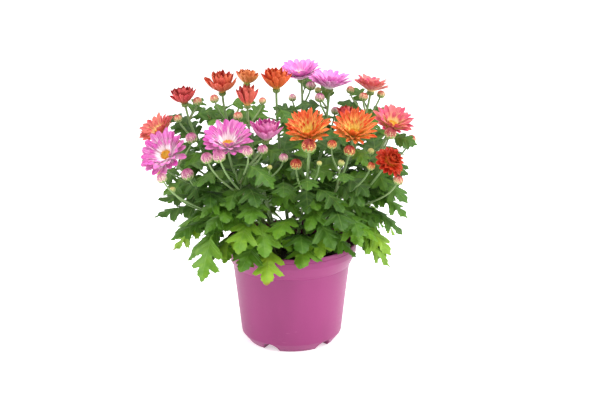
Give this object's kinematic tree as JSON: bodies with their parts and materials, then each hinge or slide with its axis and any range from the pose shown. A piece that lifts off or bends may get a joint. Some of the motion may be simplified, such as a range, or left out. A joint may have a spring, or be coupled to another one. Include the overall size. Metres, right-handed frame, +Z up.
{
  "type": "potted chrysanthemum",
  "caption": "Pink, orange and red chrysanthemums in bloom and bud, planted together in a magenta plastic nursery pot.",
  "frame": {"origin": "centre of the pot's base, on the surface that the pot stands on, on the pot's axis", "axes": "+Z up along the pot's axis, -Y towards the front of the plant as pictured, +X to the viewer's right"},
  "size_m": [0.2516, 0.1994, 0.2565],
  "materials": {
    "pot": "semi-gloss moulded plastic, magenta pink",
    "soil": "dark moist peat, matt and crumbly",
    "leaf": "matt mid green, greyer on stems and undersides",
    "pink": "satin magenta-pink petals, pale at the base",
    "orange": "satin orange petals, darker red behind",
    "red": "velvety dark red petals",
    "coral": "satin coral-red petals, yellow at the base",
    "disc": "yellow florets"
  },
  "bodies": {
    "root": {"coral_behind_left_disc": "disc", "coral_behind_left_petals": "coral", "coral_behind_right_disc": "disc", "coral_behind_right_petals": "coral", "coral_high_right_disc": "disc", "coral_high_right_petals": "coral", "coral_left_disc": "disc", "coral_left_petals": "coral", "coral_right_disc": "disc", "coral_right_petals": "coral", "orange_back_shoot": "leaf", "orange_behind_disc": "disc", "orange_behind_petals": "orange", "orange_front_disc": "disc", "orange_front_petals": "orange", "orange_front_shoot": "leaf", "orange_right_disc": "disc", "orange_right_petals": "orange", "orange_right_shoot": "leaf", "pink_back_disc": "disc", "pink_back_left_shoot": "leaf", "pink_back_petals": "pink", "pink_back_shoot": "leaf", "pink_behind_disc": "disc", "pink_behind_petals": "pink", "pink_cup_petals": "pink", "pink_front_disc": "disc", "pink_front_petals": "pink", "pink_front_shoot": "leaf", "pink_left_disc": "disc", "pink_left_petals": "pink", "pink_left_shoot": "leaf", "pink_right_disc": "disc", "pink_right_petals": "pink", "pink_right_shoot": "leaf", "pot": "pot", "red_back_left_shoot": "leaf", "red_back_right_shoot": "leaf", "red_centre_shoot": "leaf", "red_double_petals": "red", "red_far_left_petals": "red", "red_goblet_petals": "red", "red_high_behind_petals": "red", "red_high_left_petals": "red", "red_high_left_shoot": "leaf", "red_high_right_shoot": "leaf", "red_left_shoot": "leaf", "red_middle_petals": "red", "red_middle_shoot": "leaf", "red_opening_petals": "red", "red_right_shoot": "leaf", "soil": "soil"}
  },
  "joints": []
}
